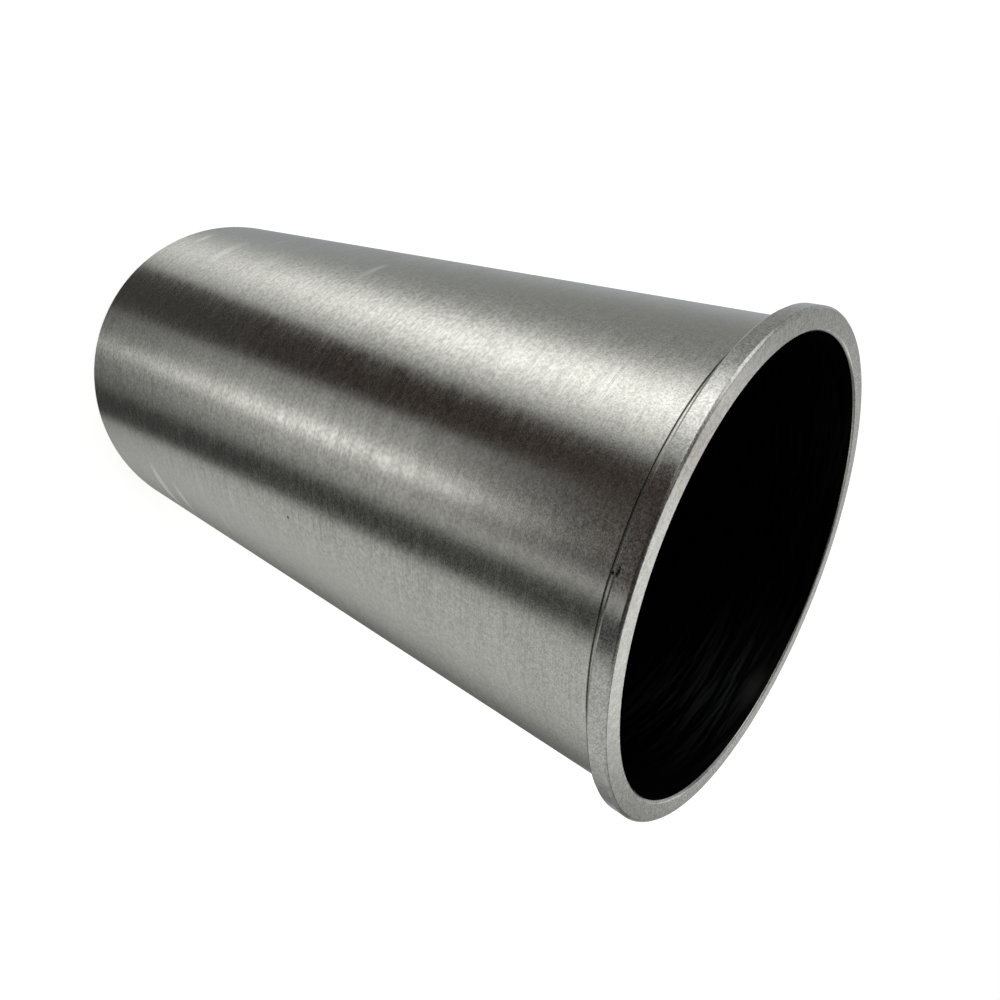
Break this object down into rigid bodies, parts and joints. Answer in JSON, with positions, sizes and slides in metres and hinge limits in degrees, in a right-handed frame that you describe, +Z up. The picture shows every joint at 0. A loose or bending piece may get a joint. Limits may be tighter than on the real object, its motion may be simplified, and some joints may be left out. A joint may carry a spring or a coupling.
{
  "type": "cylinder liner",
  "caption": "Dry thin-wall cylinder liner: a ground and honed iron sleeve with a seating flange and a relief groove at its top, for a diesel engine block.",
  "frame": {"origin": "centre of the skirt end's ring, on the bore's axis, where the liner stands", "axes": "+Z up along the bore's axis, from the skirt end to the flange; +X and +Y are any two across it, as the liner is round"},
  "size_m": [0.1224, 0.1224, 0.222],
  "materials": {
    "liner_iron": "ground outside with fine lines round the barrel, turned flange face, dark honed bore"
  },
  "bodies": {
    "root": {"cylinder_liner": "liner_iron"}
  },
  "joints": []
}
